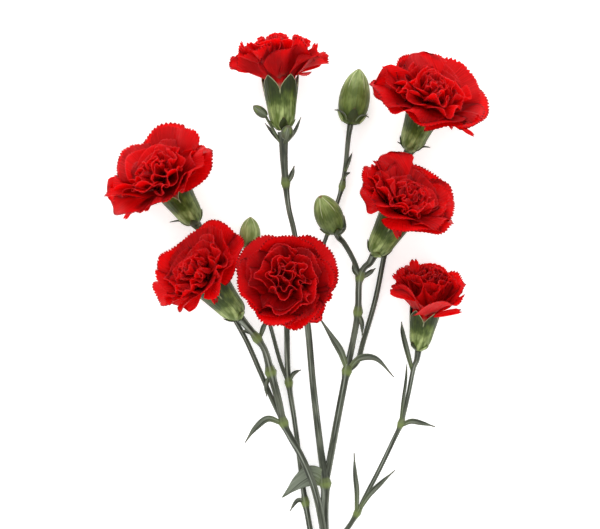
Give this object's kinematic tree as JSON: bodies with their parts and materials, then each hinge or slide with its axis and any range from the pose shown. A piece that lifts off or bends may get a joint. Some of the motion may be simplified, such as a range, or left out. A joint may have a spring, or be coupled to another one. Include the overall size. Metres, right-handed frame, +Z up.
{
  "type": "cut carnation",
  "caption": "Cut spray carnation lying on a table: a slim jointed stem with narrow leaves and side shoots that end in ruffled red blooms and closed green buds.",
  "frame": {"origin": "centre of the footprint's bounding box, on the table that the stem lies on", "axes": "+Y along the stem from its cut end to the blooms, +Z up from the table, +X to the right seen from above with the blooms at the top"},
  "size_m": [0.2007, 0.3793, 0.0716],
  "materials": {
    "petals": "matt, thin and soft, with a faint sheen",
    "calyx": "smooth green skin with fine ribs and a satin finish",
    "stem": "smooth grey-green skin with a waxy bloom"
  },
  "bodies": {
    "root": {"stem_top": "stem", "stem_inner_right": "stem", "stem_right": "stem", "stem_inner_left": "stem", "stem_left": "stem", "stem_centre": "stem", "stem_low_right": "stem", "twig_bud_top": "stem", "twig_bud_inner_right": "stem", "twig_bud_left": "stem", "calyx_top": "calyx", "calyx_left": "calyx", "calyx_inner_left": "calyx", "calyx_centre": "calyx", "calyx_inner_right": "calyx", "calyx_right": "calyx", "calyx_low_right": "calyx", "petals_top": "petals", "petals_left": "petals", "petals_inner_left": "petals", "petals_centre": "petals", "petals_inner_right": "petals", "petals_right": "petals", "petals_low_right": "petals", "bud_top": "calyx", "bud_inner_right": "calyx", "bud_left": "calyx"}
  },
  "joints": []
}
